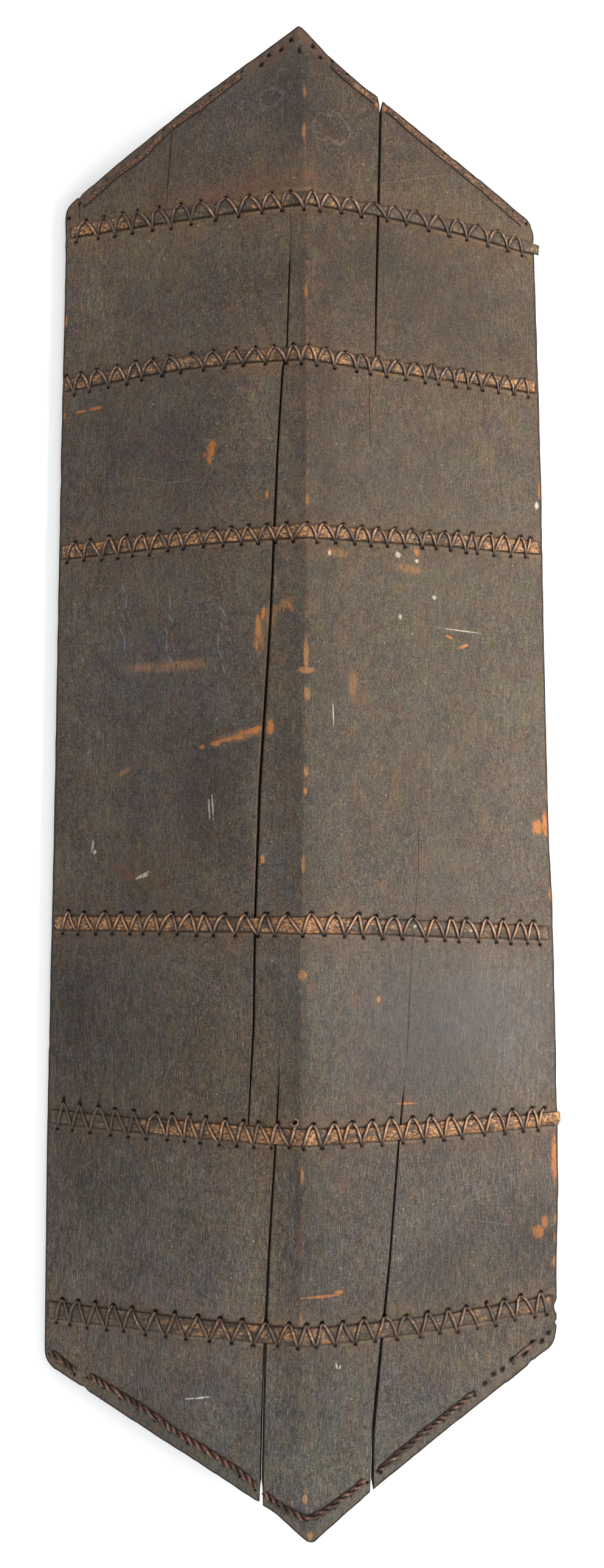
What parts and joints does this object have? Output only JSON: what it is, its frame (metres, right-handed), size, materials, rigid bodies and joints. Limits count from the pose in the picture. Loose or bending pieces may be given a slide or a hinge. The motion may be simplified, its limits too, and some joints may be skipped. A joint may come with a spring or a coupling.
{
  "type": "dayak war shield",
  "caption": "Long wooden war shield with pointed ends and a low ridge, cane battens lashed across its front and a carved grip behind.",
  "frame": {"origin": "on the ground under the middle of the shield's box, as it lies ridge up on its two long rims", "axes": "+X across the shield to the right of its front, +Y along it to its top point, +Z out of its front"},
  "size_m": [0.4271, 1.2, 0.0939],
  "materials": {
    "plank_wood": "old dark grey-brown wood, dry and lightly polished by handling, with orange-brown worn spots",
    "split_cane": "split cane, brown with an orange skin, satin",
    "lashing_rattan": "flat rattan strand, dark brown, lightly shining",
    "edge_rattan": "twisted rattan, dark brown and grimy"
  },
  "bodies": {
    "root": {"board": "plank_wood", "batten_1": "split_cane", "batten_2": "split_cane", "batten_3": "split_cane", "batten_4": "split_cane", "batten_5": "split_cane", "batten_6": "split_cane", "lashing_1": "lashing_rattan", "lashing_2": "lashing_rattan", "lashing_3": "lashing_rattan", "lashing_4": "lashing_rattan", "lashing_5": "lashing_rattan", "lashing_6": "lashing_rattan", "edge_binding_upper_left": "edge_rattan", "edge_binding_upper_middle": "edge_rattan", "edge_binding_upper_right": "edge_rattan", "edge_binding_left_corner": "edge_rattan", "edge_binding_lower_left": "edge_rattan", "edge_binding_lower_middle": "edge_rattan", "edge_binding_lower_right": "edge_rattan", "edge_binding_right_corner": "edge_rattan"}
  },
  "joints": []
}
